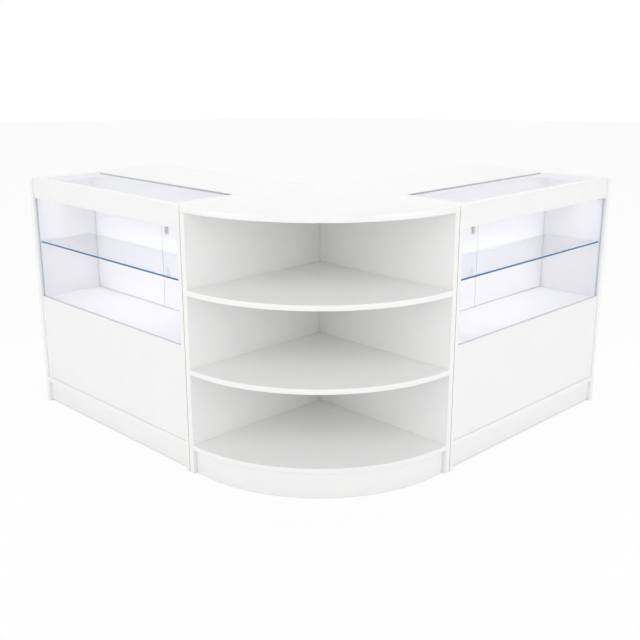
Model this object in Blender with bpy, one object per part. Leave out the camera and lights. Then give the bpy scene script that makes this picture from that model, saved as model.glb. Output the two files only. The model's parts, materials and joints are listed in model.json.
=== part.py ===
"""Shop counter set in an L: two glass display counters and a quarter-round corner shelf unit.

Metres, +Z up. The origin is the middle of the footprint, on the floor. The left counter runs along
-X and faces -Y, the right counter is its mirror image along +Y and faces +X, and the corner unit
fills the square between them.
"""
import math

import bmesh
import bpy
from mathutils import Matrix, Vector

# One counter, over its end panels
COUNTER_LENGTH = 0.945
COUNTER_DEPTH = 0.618
COUNTER_HEIGHT = 0.900
BOARD = 0.018

# Clearances: seated faces, units side by side, panes and loose shelves
SEAT = 0.0003
UNIT_GAP = 0.0008
PANE_PLAY = 0.001
SHELF_PLAY = 0.002

# Counter front
PLINTH = 0.084
KICK_SETBACK = 0.014
KICK_CLEARANCE = 0.003
FRONT_SETBACK = 0.007
LOWER_PANEL_TOP = 0.437
FASCIA_HEIGHT = 0.076

# Glass: panes, the grooves of the front pane and the rebate of the top pane
GLASS = 0.006
GLASS_ARRIS = 0.0008
GLASS_LIP = 0.004
GROOVE_DEPTH = 0.007
TOP_BORDER = 0.045
TOP_STRIP = 0.012
REBATE = 0.009
SERVING_DEPTH = 0.345
GLASS_SHELF_TOP = 0.655
GLASS_SHELF_FRONT_GAP = 0.003
GLASS_SHELF_REAR_GAP = 0.012

# Display floor, storage shelf and the rail over the doors
DECK_DROP = 0.006
STORAGE_SHELF_TOP = 0.262
STORAGE_SHELF_REAR_GAP = 0.030
STORAGE_SHELF_FRONT_GAP = 0.005
RAIL_HEIGHT = 0.106

# Doors and their continuous hinges
DOOR_GAP = 0.002
SEAM_GAP = 0.003
HINGE_GAP = 0.003
HINGE_AXIS_OFF = 0.004
HINGE_PROUD = 0.0038
HINGE_INSET = 0.010
HINGE_KNUCKLES = 9
KNUCKLE_RADIUS = 0.0034
LEAF = 0.001
LEAF_WIDTH = 0.014
PIN_RADIUS = 0.0014
PIN_PLAY = 0.0003

# Cam lock, knob and catches of the doors
LOCK_INSET = 0.036
LOCK_DROP = 0.022
BARREL_RADIUS = 0.009
BARREL_PLAY = 0.0003
FLANGE_RADIUS = 0.012
FLANGE = 0.002
NUT_RADIUS = 0.0125
NUT = 0.004
PLUG_RADIUS = 0.006
CAM_LENGTH = 0.034
CAM_WIDTH = 0.012
CAM_PLATE = 0.0025
KEY_SLOT_WIDTH = 0.0014
KEY_SLOT_LENGTH = 0.007
KEY_SLOT_DEPTH = 0.003
KNOB_INSET = 0.050
KNOB_RADIUS = 0.013
KNOB_NECK = 0.006
KNOB_LENGTH = 0.024
CATCH_LENGTH = 0.048
CATCH_DEPTH = 0.012
CATCH_ABOVE = 0.014
CATCH_BELOW = 0.010

# Shelf pegs, pressed into the end panels
PEG_RADIUS = 0.003
PEG_LENGTH = 0.010
PEG_COLLAR_RADIUS = 0.0045
PEG_COLLAR = 0.0012
PEG_DEPTH = 0.008
PEG_INSET = 0.040

# Light bar behind the fascia
LIGHT_SIZE = 0.016
LIGHT_LIP = 0.004
LIGHT_RISE = 0.040
LIGHT_INSET = 0.030

# Corner unit
CORNER_PANEL = 0.022
CORNER_STRAIGHT = 0.038
CORNER_BAYS = 3
CORNER_KICK = 0.009
CORNER_KICK_SETBACK = 0.013
CORNER_KICK_STRAIGHT = 0.0645
ARC_STEPS = 36
ROUND_STEPS = 20

# Faces that neighbours share, in a counter's own u (along), v (rear to front) and z
INNER_FACE = UNIT_GAP + BOARD
OUTER_FACE = UNIT_GAP + COUNTER_LENGTH - BOARD
SEAM = (INNER_FACE + OUTER_FACE) / 2
TOP_UNDERSIDE = COUNTER_HEIGHT - BOARD
BASE_TOP = PLINTH + BOARD
PANEL_FRONT = COUNTER_DEPTH - FRONT_SETBACK
PANEL_BACK = PANEL_FRONT - BOARD
FASCIA_BOTTOM = COUNTER_HEIGHT - FASCIA_HEIGHT
GLASS_FRONT = PANEL_FRONT - GLASS_LIP
GLASS_BACK = GLASS_FRONT - GLASS
DOOR_FRONT = SERVING_DEPTH + REBATE
DOOR_BACK = DOOR_FRONT - BOARD
DECK_TOP = LOWER_PANEL_TOP - DECK_DROP
RAIL_BOTTOM = TOP_UNDERSIDE - RAIL_HEIGHT
DOOR_BOTTOM = DECK_TOP + DOOR_GAP
DOOR_TOP = RAIL_BOTTOM - DOOR_GAP


def clear_scene():
    """Takes away whatever the file opened with."""
    for old in list(bpy.data.objects):
        bpy.data.objects.remove(old, do_unlink=True)


def make_material(name, colour, roughness, metallic=0.0, transmission=0.0):
    """One Principled surface."""
    made = bpy.data.materials.new(name)
    made.use_nodes = True
    shader = made.node_tree.nodes["Principled BSDF"]
    shader.inputs["Base Color"].default_value = (*colour, 1.0)
    shader.inputs["Roughness"].default_value = roughness
    shader.inputs["Metallic"].default_value = metallic
    shader.inputs["Transmission Weight"].default_value = transmission
    made.diffuse_color = (*colour, 1.0)
    return made


class Unit:
    """One free-standing unit: an empty at its inner rear corner, and the hand that v runs in."""

    def __init__(self, name, root, turn, hand):
        self.name = name
        self.hand = hand
        self.frame = bpy.data.objects.new(name, None)
        self.frame.parent = root
        self.frame.rotation_euler = (0.0, 0.0, turn)
        bpy.context.scene.collection.objects.link(self.frame)

    def place(self, point):
        """A point of the unit's own u, v and z in its empty's axes."""
        return Vector((point[0], self.hand * point[1], point[2]))

    def add(self, name, shape, origin, material, smooth=False):
        """Makes the unit's object from a shape drawn in u, v and z, with its origin where given."""
        middle = self.place(origin)
        for vert in shape.verts:
            vert.co = self.place(vert.co) - middle
        shape.normal_update()
        bmesh.ops.recalc_face_normals(shape, faces=shape.faces)
        mesh = bpy.data.meshes.new(self.name + "_" + name)
        shape.to_mesh(mesh)
        shape.free()
        mesh.materials.append(material)
        if smooth:
            mesh.shade_smooth()
            mesh.set_sharp_from_angle(angle=math.radians(35))
        piece = bpy.data.objects.new(self.name + "_" + name, mesh)
        piece.location = middle
        piece.parent = self.frame
        bpy.context.scene.collection.objects.link(piece)
        return piece

    def cutter(self, name, shape, material):
        """A tool body for a Boolean, drawn as wire and left out of the model."""
        tool = self.add(name, shape, (0.0, 0.0, 0.0), material)
        tool.hide_render = True
        tool.display_type = "WIRE"
        return tool


def combine(piece, tool, operation="DIFFERENCE"):
    """Cuts a tool body out of a piece, or joins it on."""
    step = piece.modifiers.new(tool.name, "BOOLEAN")
    step.object = tool
    step.operation = operation
    step.solver = "EXACT"


def add_box(shape, low, high):
    """Adds a box between two corners to a shape."""
    size = [b - a for a, b in zip(low, high)]
    middle = [(a + b) / 2 for a, b in zip(low, high)]
    spot = Matrix.Translation(middle) @ Matrix.Diagonal((*size, 1.0))
    bmesh.ops.create_cube(shape, size=1.0, matrix=spot)
    return shape


def add_rod(shape, along, radius, low, high, steps=ROUND_STEPS):
    """Adds a round rod between two points that differ along one axis."""
    axis = Vector((0.0, 0.0, 0.0))
    axis[along] = 1.0
    length = high[along] - low[along]
    middle = (Vector(low) + Vector(high)) / 2
    turn = Vector((0.0, 0.0, 1.0)).rotation_difference(axis).to_matrix().to_4x4()
    bmesh.ops.create_cone(shape, cap_ends=True, segments=steps, radius1=radius, radius2=radius,
                          depth=length, matrix=Matrix.Translation(middle) @ turn)
    return shape


def add_prism(shape, along, outline, start, end):
    """Extrudes a closed outline along one axis; it lists the other two coordinates in order."""
    rim = []
    for pair in outline:
        point = list(pair)
        point.insert(along, start)
        rim.append(shape.verts.new(point))
    face = shape.faces.new(rim)
    grown = bmesh.ops.extrude_face_region(shape, geom=[face])
    step = Vector((0.0, 0.0, 0.0))
    step[along] = end - start
    moved = [item for item in grown["geom"] if isinstance(item, bmesh.types.BMVert)]
    bmesh.ops.translate(shape, verts=moved, vec=step)
    return shape


def add_turned(shape, along, centre, profile, closed=False, steps=ROUND_STEPS):
    """Spins a profile of (radius, distance along the axis) pairs once round an axis."""
    across = (along + 1) % 3
    axis = Vector((0.0, 0.0, 0.0))
    axis[along] = 1.0
    verts = []
    for radius, distance in profile:
        point = Vector(centre)
        point[across] += radius
        point[along] += distance
        verts.append(shape.verts.new(point))
    pairs = list(zip(verts, verts[1:]))
    if closed:
        pairs.append((verts[-1], verts[0]))
    edges = [shape.edges.new(pair) for pair in pairs]
    bmesh.ops.spin(shape, geom=verts + edges, cent=centre, axis=axis, angle=2 * math.pi,
                   steps=steps, use_merge=True, use_duplicate=False)
    bmesh.ops.remove_doubles(shape, verts=shape.verts, dist=1e-6)
    return shape


def arc(centre, radius, start, end, steps):
    """Points of an arc in plan."""
    points = []
    for index in range(steps + 1):
        angle = start + (end - start) * index / steps
        points.append((centre[0] + radius * math.cos(angle), centre[1] + radius * math.sin(angle)))
    return points


def add_board(unit, name, low, high, material):
    """A plain sawn board, with its origin in its middle."""
    middle = [(a + b) / 2 for a, b in zip(low, high)]
    return unit.add(name, add_box(bmesh.new(), low, high), middle, material)


def add_pane(unit, name, low, high, material):
    """A glass pane with arrised edges."""
    pane = add_board(unit, name, low, high, material)
    arris = pane.modifiers.new("arris", "BEVEL")
    arris.width = GLASS_ARRIS
    arris.segments = 1
    return pane


def shelf_supports():
    """The v and z of each peg, for the glass shelf and for the storage shelf."""
    spots = []
    glass_z = GLASS_SHELF_TOP - GLASS - SEAT - PEG_RADIUS
    for v in (DOOR_FRONT + GLASS_SHELF_REAR_GAP + PEG_INSET,
              GLASS_BACK - GLASS_SHELF_FRONT_GAP - PEG_INSET):
        spots.append((v, glass_z))
    storage_z = STORAGE_SHELF_TOP - BOARD - SEAT - PEG_RADIUS
    for v in (STORAGE_SHELF_REAR_GAP + PEG_INSET,
              PANEL_BACK - STORAGE_SHELF_FRONT_GAP - PEG_INSET):
        spots.append((v, storage_z))
    return spots


def build_end_panels(unit, looks):
    """Both full-height end panels, with the pressed-in pegs of the two shelves."""
    ends = {"inner_end_panel": (UNIT_GAP, INNER_FACE, INNER_FACE, 1.0),
            "outer_end_panel": (OUTER_FACE, OUTER_FACE + BOARD, OUTER_FACE, -1.0)}
    profile = [(0.0, -PEG_DEPTH), (PEG_RADIUS, -PEG_DEPTH), (PEG_RADIUS, -PEG_COLLAR),
               (PEG_COLLAR_RADIUS, -PEG_COLLAR), (PEG_COLLAR_RADIUS, PEG_COLLAR),
               (PEG_RADIUS, PEG_COLLAR), (PEG_RADIUS, PEG_LENGTH), (0.0, PEG_LENGTH)]
    for name, (near, far, face, inward) in ends.items():
        panel = add_board(unit, name, (near, 0.0, 0.0), (far, COUNTER_DEPTH, COUNTER_HEIGHT),
                          looks["board"])
        pegs = bmesh.new()
        side = [(radius, inward * distance) for radius, distance in profile]
        for v, z in shelf_supports():
            add_turned(pegs, 0, (face, v, z), side)
        combine(panel, unit.cutter(name + "_pegs", pegs, looks["steel"]), "UNION")


def build_carcass(unit, looks):
    """Base shelf, kickboards, lower front panel, display floor, storage shelf and rail."""
    near = INNER_FACE + SEAT
    far = OUTER_FACE - SEAT
    board = looks["board"]
    add_board(unit, "base_shelf", (near, 0.0, PLINTH), (far, COUNTER_DEPTH, BASE_TOP), board)
    kick_front = COUNTER_DEPTH - KICK_SETBACK
    add_board(unit, "kickboard", (near, kick_front - BOARD, KICK_CLEARANCE),
              (far, kick_front, PLINTH - SEAT), board)
    add_board(unit, "rear_kickboard", (near, KICK_SETBACK, KICK_CLEARANCE),
              (far, KICK_SETBACK + BOARD, PLINTH - SEAT), board)
    add_board(unit, "display_floor", (near, 0.0, DECK_TOP - BOARD),
              (far, PANEL_BACK - SEAT, DECK_TOP), board)
    add_board(unit, "display_rail", (near, DOOR_BACK, RAIL_BOTTOM),
              (far, DOOR_FRONT, TOP_UNDERSIDE - SEAT), board)
    add_board(unit, "storage_shelf",
              (INNER_FACE + SHELF_PLAY, STORAGE_SHELF_REAR_GAP, STORAGE_SHELF_TOP - BOARD),
              (OUTER_FACE - SHELF_PLAY, PANEL_BACK - STORAGE_SHELF_FRONT_GAP, STORAGE_SHELF_TOP),
              board)
    groove_back = GLASS_BACK - SEAT
    groove_front = GLASS_FRONT + SEAT
    groove_floor = LOWER_PANEL_TOP - GROOVE_DEPTH
    outline = [(PANEL_BACK, BASE_TOP + SEAT), (PANEL_FRONT, BASE_TOP + SEAT),
               (PANEL_FRONT, LOWER_PANEL_TOP), (groove_front, LOWER_PANEL_TOP),
               (groove_front, groove_floor), (groove_back, groove_floor),
               (groove_back, LOWER_PANEL_TOP), (PANEL_BACK, LOWER_PANEL_TOP)]
    middle = (SEAM, (PANEL_BACK + PANEL_FRONT) / 2, (BASE_TOP + LOWER_PANEL_TOP) / 2)
    unit.add("lower_front_panel", add_prism(bmesh.new(), 0, outline, near, far), middle, board)


def build_top(unit, looks):
    """Fascia, serving top with the top pane flush in its window, the other panes and the light bar."""
    near = INNER_FACE + SEAT
    far = OUTER_FACE - SEAT
    board = looks["board"]
    groove_back = GLASS_BACK - SEAT
    groove_front = GLASS_FRONT + SEAT
    groove_roof = FASCIA_BOTTOM + GROOVE_DEPTH
    outline = [(PANEL_BACK, COUNTER_HEIGHT), (PANEL_BACK, FASCIA_BOTTOM),
               (groove_back, FASCIA_BOTTOM), (groove_back, groove_roof),
               (groove_front, groove_roof), (groove_front, FASCIA_BOTTOM),
               (PANEL_FRONT, FASCIA_BOTTOM), (PANEL_FRONT, COUNTER_HEIGHT)]
    middle = (SEAM, (PANEL_BACK + PANEL_FRONT) / 2, (FASCIA_BOTTOM + COUNTER_HEIGHT) / 2)
    unit.add("fascia", add_prism(bmesh.new(), 0, outline, near, far), middle, board)

    glass_near = INNER_FACE + TOP_BORDER
    glass_far = OUTER_FACE - TOP_BORDER
    glass_rear = SERVING_DEPTH
    glass_front = PANEL_BACK - TOP_STRIP
    top = add_board(unit, "serving_top", (near, 0.0, TOP_UNDERSIDE),
                    (far, PANEL_BACK - SEAT, COUNTER_HEIGHT), board)
    rebate_floor = COUNTER_HEIGHT - GLASS - SEAT
    recess = add_box(bmesh.new(), (glass_near, glass_rear, rebate_floor),
                     (glass_far, glass_front, COUNTER_HEIGHT + GLASS))
    combine(top, unit.cutter("top_pane_rebate", recess, board))
    window = add_box(bmesh.new(), (glass_near + REBATE, glass_rear + REBATE, TOP_UNDERSIDE - BOARD),
                     (glass_far - REBATE, glass_front - REBATE, COUNTER_HEIGHT))
    combine(top, unit.cutter("display_window", window, board))

    add_pane(unit, "top_glass", (glass_near + SEAT, glass_rear + SEAT, COUNTER_HEIGHT - GLASS),
             (glass_far - SEAT, glass_front - SEAT, COUNTER_HEIGHT), looks["glass"])
    add_pane(unit, "front_glass",
             (INNER_FACE + PANE_PLAY, GLASS_BACK, LOWER_PANEL_TOP - GROOVE_DEPTH + SEAT),
             (OUTER_FACE - PANE_PLAY, GLASS_FRONT, groove_roof - PANE_PLAY), looks["glass"])
    add_pane(unit, "glass_shelf",
             (INNER_FACE + SHELF_PLAY, DOOR_FRONT + GLASS_SHELF_REAR_GAP, GLASS_SHELF_TOP - GLASS),
             (OUTER_FACE - SHELF_PLAY, GLASS_BACK - GLASS_SHELF_FRONT_GAP, GLASS_SHELF_TOP),
             looks["glass"])

    back = PANEL_BACK - SEAT
    base = FASCIA_BOTTOM + LIGHT_RISE - LIGHT_SIZE
    outline = [(back, base + LIGHT_SIZE), (back, base), (back - LIGHT_LIP, base),
               (back - LIGHT_SIZE, base + LIGHT_SIZE - LIGHT_LIP), (back - LIGHT_SIZE, base + LIGHT_SIZE)]
    bar = add_prism(bmesh.new(), 0, outline, INNER_FACE + LIGHT_INSET, OUTER_FACE - LIGHT_INSET)
    unit.add("light_bar", bar, (SEAM, back, base), looks["aluminium"])


def comb_outline(axis_v, low, high, first):
    """A hinge leaf seen square on, in v and z: every second tooth reaches the knuckle line."""
    root = axis_v + KNUCKLE_RADIUS + SEAT * 2
    end = axis_v + HINGE_PROUD + LEAF_WIDTH
    pitch = (high - low) / HINGE_KNUCKLES
    points = [(end, high), (end, low), (root, low)]
    for index in range(first, HINGE_KNUCKLES, 2):
        start = low + index * pitch
        points += [(root, start + SEAT), (axis_v, start + SEAT)]
        points += [(axis_v, start + pitch - SEAT), (root, start + pitch - SEAT)]
    points.append((root, high))
    return points


def build_hinge(unit, looks, name, face, inward):
    """Continuous hinge in the gap beside a door: a leaf and pin on the end panel, a leaf on the door."""
    axis_u = face + inward * HINGE_AXIS_OFF
    axis_v = DOOR_BACK - HINGE_PROUD
    low = DOOR_BOTTOM + HINGE_INSET
    high = DOOR_TOP - HINGE_INSET
    pitch = (high - low) / HINGE_KNUCKLES
    leaves = {name + "_hinge_frame": (SEAT, 0), name + "_hinge": (HINGE_GAP - SEAT - LEAF, 1)}
    for piece, (offset, first) in leaves.items():
        plate = add_prism(bmesh.new(), 0, comb_outline(axis_v, low, high, first),
                          face + inward * offset, face + inward * (offset + LEAF))
        leaf = unit.add(piece, plate, (axis_u, axis_v, low), looks["steel"], smooth=True)
        knuckles = bmesh.new()
        for index in range(first, HINGE_KNUCKLES, 2):
            start = low + index * pitch
            add_rod(knuckles, 2, KNUCKLE_RADIUS, (axis_u, axis_v, start + SEAT / 2),
                    (axis_u, axis_v, start + pitch - SEAT / 2))
        combine(leaf, unit.cutter(piece + "_knuckles", knuckles, looks["steel"]), "UNION")
        radius = PIN_RADIUS + PIN_PLAY * first
        past = PIN_RADIUS * (2 * first - 1)
        pin = add_rod(bmesh.new(), 2, radius, (axis_u, axis_v, low - past), (axis_u, axis_v, high + past))
        combine(leaf, unit.cutter(piece + "_pin", pin, looks["steel"]), "DIFFERENCE" if first else "UNION")


def build_lock(unit, looks, door):
    """Cam lock near the seam: flanged barrel and nut in the door, and the plug and cam that turn."""
    spot = (SEAM - LOCK_INSET, 0.0, DOOR_TOP - LOCK_DROP)
    hole = add_rod(bmesh.new(), 1, BARREL_RADIUS + BARREL_PLAY, (spot[0], DOOR_BACK - BOARD, spot[2]),
                   (spot[0], DOOR_FRONT + BOARD, spot[2]))
    tool = unit.cutter("lock_hole", hole, looks["steel"])
    combine(door, tool)
    face = DOOR_BACK - SEAT - FLANGE
    seat = DOOR_FRONT + SEAT
    end = seat + NUT
    bore = PLUG_RADIUS + BARREL_PLAY
    profile = [(bore, face), (FLANGE_RADIUS, face), (FLANGE_RADIUS, face + FLANGE),
               (BARREL_RADIUS, face + FLANGE), (BARREL_RADIUS, end), (bore, end)]
    body = add_turned(bmesh.new(), 1, spot, profile, closed=True)
    unit.add("lock_body", body, (spot[0], DOOR_BACK, spot[2]), looks["steel"], smooth=True)
    hexagon = arc((spot[0], spot[2]), NUT_RADIUS, 0.0, 2 * math.pi, 6)[:-1]
    nut = unit.add("lock_nut", add_prism(bmesh.new(), 1, hexagon, seat, end), (spot[0], seat, spot[2]),
                   looks["steel"])
    combine(nut, tool)

    plate = end + SEAT
    plug = add_rod(bmesh.new(), 1, PLUG_RADIUS, (spot[0], face + SEAT, spot[2]),
                   (spot[0], plate + CAM_PLATE / 2, spot[2]))
    cam = unit.add("lock_cam", plug, (spot[0], plate, spot[2]), looks["steel"], smooth=True)
    half = CAM_WIDTH / 2
    outline = arc((spot[0], spot[2]), half + SEAT, 0.0, math.pi, ROUND_STEPS // 2)
    outline += [(spot[0] - half, spot[2] - CAM_LENGTH), (spot[0] + half, spot[2] - CAM_LENGTH)]
    lever = add_prism(bmesh.new(), 1, outline, plate, plate + CAM_PLATE)
    combine(cam, unit.cutter("lock_lever", lever, looks["steel"]), "UNION")
    wide = KEY_SLOT_WIDTH / 2
    tall = KEY_SLOT_LENGTH / 2
    slot = add_box(bmesh.new(), (spot[0] - wide, face - KEY_SLOT_DEPTH, spot[2] - tall),
                   (spot[0] + wide, face + KEY_SLOT_DEPTH, spot[2] + tall))
    combine(cam, unit.cutter("key_slot", slot, looks["steel"]))


def build_doors(unit, looks):
    """Two display doors that open to the staff side, with hinges, lock, knob and catch."""
    pivots = {"inner_door": (INNER_FACE, 1.0), "outer_door": (OUTER_FACE, -1.0)}
    doors = {}
    for name, (face, inward) in pivots.items():
        reach = sorted((face + inward * HINGE_GAP, SEAM - inward * SEAM_GAP / 2))
        shape = add_box(bmesh.new(), (reach[0], DOOR_BACK, DOOR_BOTTOM), (reach[1], DOOR_FRONT, DOOR_TOP))
        axis = (face + inward * HINGE_AXIS_OFF, DOOR_BACK - HINGE_PROUD, DOOR_BOTTOM)
        doors[name] = unit.add(name, shape, axis, looks["board"])
        build_hinge(unit, looks, name, face, inward)
    build_lock(unit, looks, doors["inner_door"])

    spot = (SEAM + KNOB_INSET, DOOR_BACK - SEAT, (DOOR_BOTTOM + DOOR_TOP) / 2)
    waist = KNOB_LENGTH * 0.4
    crown = KNOB_LENGTH * 0.8
    profile = [(0.0, 0.0), (KNOB_NECK * 1.3, 0.0), (KNOB_NECK, -waist / 2), (KNOB_NECK, -waist),
               (KNOB_RADIUS, -crown * 0.75), (KNOB_RADIUS, -crown), (KNOB_RADIUS * 0.7, -KNOB_LENGTH),
               (0.0, -KNOB_LENGTH)]
    unit.add("outer_door_knob", add_turned(bmesh.new(), 1, spot, profile), spot, looks["steel"], smooth=True)
    add_board(unit, "door_catch", (SEAM - CATCH_LENGTH / 2, DOOR_FRONT + SEAT, RAIL_BOTTOM - CATCH_BELOW),
              (SEAM + CATCH_LENGTH / 2, DOOR_FRONT + SEAT + CATCH_DEPTH, RAIL_BOTTOM + CATCH_ABOVE),
              looks["plastic"])


def build_counter(unit, looks):
    """One whole display counter."""
    build_end_panels(unit, looks)
    build_carcass(unit, looks)
    build_top(unit, looks)
    build_doors(unit, looks)


def quarter_outline(near):
    """Plan of a corner board: square at the rear corner, one large round corner to the front."""
    bend = CORNER_STRAIGHT
    round_edge = arc((bend, bend), COUNTER_DEPTH - bend, 0.0, math.pi / 2, ARC_STEPS)
    return [(near, near), (COUNTER_DEPTH, near)] + round_edge + [(near, COUNTER_DEPTH)]


def build_corner(unit, looks):
    """Open quarter-round shelf unit: two side panels, top, shelves, base and a bent kickboard."""
    board = looks["board"]
    depth = COUNTER_DEPTH
    side_top = TOP_UNDERSIDE - SEAT
    add_board(unit, "left_panel", (0.0, 0.0, 0.0), (CORNER_PANEL, depth, side_top), board)
    add_board(unit, "right_panel", (CORNER_PANEL + SEAT, 0.0, 0.0), (depth, CORNER_PANEL, side_top), board)
    top = add_prism(bmesh.new(), 2, quarter_outline(0.0), TOP_UNDERSIDE, COUNTER_HEIGHT)
    unit.add("top", top, (0.0, 0.0, TOP_UNDERSIDE), board)

    bay = (TOP_UNDERSIDE - BASE_TOP - (CORNER_BAYS - 1) * BOARD) / CORNER_BAYS
    names = ["base_shelf"] + ["shelf_%d" % (index + 1) for index in range(CORNER_BAYS - 1)]
    for index, name in enumerate(names):
        low = PLINTH + index * (bay + BOARD)
        shelf = add_prism(bmesh.new(), 2, quarter_outline(CORNER_PANEL + SEAT * 2), low, low + BOARD)
        unit.add(name, shelf, (0.0, 0.0, low), board)

    bend = CORNER_KICK_STRAIGHT
    outer = depth - CORNER_KICK_SETBACK - bend
    inner = outer - CORNER_KICK
    near = CORNER_PANEL + SEAT * 2
    outline = [(bend + outer, near)] + arc((bend, bend), outer, 0.0, math.pi / 2, ARC_STEPS)
    outline += [(near, bend + outer), (near, bend + inner)]
    outline += arc((bend, bend), inner, math.pi / 2, 0.0, ARC_STEPS) + [(bend + inner, near)]
    kick = add_prism(bmesh.new(), 2, outline, KICK_CLEARANCE, PLINTH - SEAT)
    unit.add("kickboard", kick, (0.0, 0.0, KICK_CLEARANCE), board)


def main():
    clear_scene()
    looks = {"board": make_material("white melamine board", (0.86, 0.86, 0.86), 0.45),
             "glass": make_material("float glass", (0.80, 0.90, 0.95), 0.02, transmission=1.0),
             "steel": make_material("nickel-plated steel", (0.62, 0.62, 0.60), 0.28, metallic=1.0),
             "aluminium": make_material("anodised aluminium", (0.75, 0.75, 0.76), 0.35, metallic=1.0),
             "plastic": make_material("white moulded plastic", (0.80, 0.80, 0.80), 0.40)}
    root = bpy.data.objects.new("shop_counter", None)
    bpy.context.scene.collection.objects.link(root)
    shift = (UNIT_GAP + COUNTER_LENGTH - COUNTER_DEPTH) / 2
    root.location = (shift, -shift, 0.0)
    build_counter(Unit("left", root, math.pi, 1.0), looks)
    build_counter(Unit("right", root, math.pi / 2, -1.0), looks)
    build_corner(Unit("corner", root, 0.0, -1.0), looks)
    bpy.context.view_layer.update()


main()
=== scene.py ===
"""Finish of the shop counter set: white boards, clear panes, fittings and light bars, in a plain studio.

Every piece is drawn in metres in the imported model's own frame. A display counter is drawn once, in its
own u (from the corner unit outwards), v (from the staff side to the customer side) and z, and then laid
on the left or on the right.
"""
import json
import math

import bmesh
import bpy
from bpy.props import FloatProperty, FloatVectorProperty, PointerProperty
from bpy.types import NodeSocket, Operator, Panel, PropertyGroup
from mathutils import Matrix, Vector


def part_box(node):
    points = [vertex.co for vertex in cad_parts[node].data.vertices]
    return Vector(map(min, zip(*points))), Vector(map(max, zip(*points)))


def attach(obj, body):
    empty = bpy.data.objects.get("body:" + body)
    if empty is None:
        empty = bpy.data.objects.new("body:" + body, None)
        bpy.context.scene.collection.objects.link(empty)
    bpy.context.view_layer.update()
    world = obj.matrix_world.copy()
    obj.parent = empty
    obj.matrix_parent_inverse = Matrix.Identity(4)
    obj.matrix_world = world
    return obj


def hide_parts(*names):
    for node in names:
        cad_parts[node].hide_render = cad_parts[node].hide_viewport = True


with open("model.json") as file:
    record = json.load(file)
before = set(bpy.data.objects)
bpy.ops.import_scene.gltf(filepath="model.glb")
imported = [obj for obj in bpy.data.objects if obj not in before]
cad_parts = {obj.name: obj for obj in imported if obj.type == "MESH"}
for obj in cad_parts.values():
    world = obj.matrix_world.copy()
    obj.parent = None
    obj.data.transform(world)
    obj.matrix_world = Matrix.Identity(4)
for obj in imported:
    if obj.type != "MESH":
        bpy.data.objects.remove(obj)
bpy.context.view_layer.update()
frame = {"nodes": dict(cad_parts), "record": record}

bl_info = {
    "name": "Shop Counter Finish",
    "version": (1, 0, 0),
    "blender": (4, 5, 0),
    "location": "3D View > Sidebar > Counter",
    "description": "Boards, panes, fittings, light bars and studio of a shop counter set",
    "category": "Object",
}

SIDES = ("left", "right")
BODY_OF = {node: body for body, nodes in frame["record"]["behaviour"]["bodies"].items() for node in nodes}

# The rear inner corner that the three units share, and each counter's place against it
panel_low, panel_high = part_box("corner_left_panel")
SHARED_CORNER = Matrix.Translation((panel_low.x, panel_high.y, 0.0))
LAID = {
    "left": SHARED_CORNER @ Matrix.Rotation(math.pi, 4, "Z"),
    "right": SHARED_CORNER @ Matrix(((0, 1, 0, 0), (1, 0, 0, 0), (0, 0, 1, 0), (0, 0, 0, 1))),
}

# Boards, in metres
shelf_low, shelf_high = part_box("left_base_shelf")
BOARD = shelf_high.z - shelf_low.z
# A face that stands against the next unit lies back by this much, to open the joint, and gets a painted
# shade: a grey that darkens the joint
JOINT_SETBACK = 0.0006
# The height to which the corner kickboard is scribed
SCRIBED = 0.0002
# Places of a board's materials after its face, and of a pane's
EDGE = 1
JOINT_SHADED = 2
GROUND = 1
RUBBED = 2

# Fittings, as turned, pressed or moulded, in metres; a peg's seat is the room under its shelf
SEAT = 0.0003
PEG_RADIUS = 0.003
PEG_COLLAR_RADIUS = 0.0045
PEG_COLLAR = 0.0012
PEG_LENGTH = 0.010
PEG_TIP = 0.0008
PEG_INSET = 0.040
LEAF_ROUND = 0.00015
LOCK_ROUND = 0.0003
HOUSING_ROUND = 0.0012
CHANNEL_ROUND = 0.0002
CAP_ROUND = 0.0003
ROUND_STEPS = 48

# A normal this close to an axis lies along it, and points this close are one
FLAT = 0.999
SQUARE = 0.9999
MERGE = 1e-6
SAME_HEIGHT = 1e-5

# Shades that go with the colours of the finish, as sRGB hex codes
# Painted shade in the joint between two units
JOINT_SHADE_DEEP = "7E7C78"
GLASS_SHEEN = "FAFBFD"
LIT_EDGE_PALE = "0E78A6"
# Painted shade: darker blues of a ground edge in its rebate
SHADED_EDGE_DEEP = "083452"
SHADED_EDGE_PALE = "124868"
# Painted shade of a frosted edge in a groove
GROOVE_SHADE_DULL = "BCC7CE"
BRIGHT_EDGE = "F2F6F9"
BRIGHT_EDGE_DULL = "E2E9EE"
ALUMINIUM = "CBCDD0"
LENS = "F2F5FA"
NYLON = "EFEFEC"
MOULDED_ABS = "EDEDEB"
WHITE = (1.0, 1.0, 1.0, 1.0)

# How the materials answer light
MELAMINE_IOR = 1.5
ABS_IOR = 1.52
GLASS_IOR = 1.52
POLYCARBONATE_IOR = 1.58
# Share of light that a pane mirrors square on
GLASS_MIRROR = 0.03
# Share of its colour that a dull patch keeps
PLATING_DULLED = 0.86
MOULD_DULLED = 0.94
# A light bar is brighter before its lamps, and darker between them, by this share
LAMP_SHOWS = 0.08
# How far the lens tips its beam down, and how much it narrows it across the bar
LENS_BEND = 0.882
LENS_FOCUS = 2.4
# Noise seldom leaves this span
NOISE_SPAN = (0.3, 0.7)

# Studio, in metres
FLOOR_RADIUS = 16.0
FLOOR_DROP = 0.0003
SOFTBOX_SIZE = 3.0
SOFTBOX_AIM = Vector((0.2, -0.2, 0.4))
# Share of plain white in what the camera sees of the floor
FLOOR_WASH = 0.91
# In millimetres
SENSOR_WIDTH = 36.0


def linear(code):
    """An sRGB hex colour as linear red, green and blue."""
    levels = [int(code[start:start + 2], 16) / 255 for start in (0, 2, 4)]
    return [level / 12.92 if level <= 0.04045 else ((level + 0.055) / 1.055) ** 2.4 for level in levels]


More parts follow.
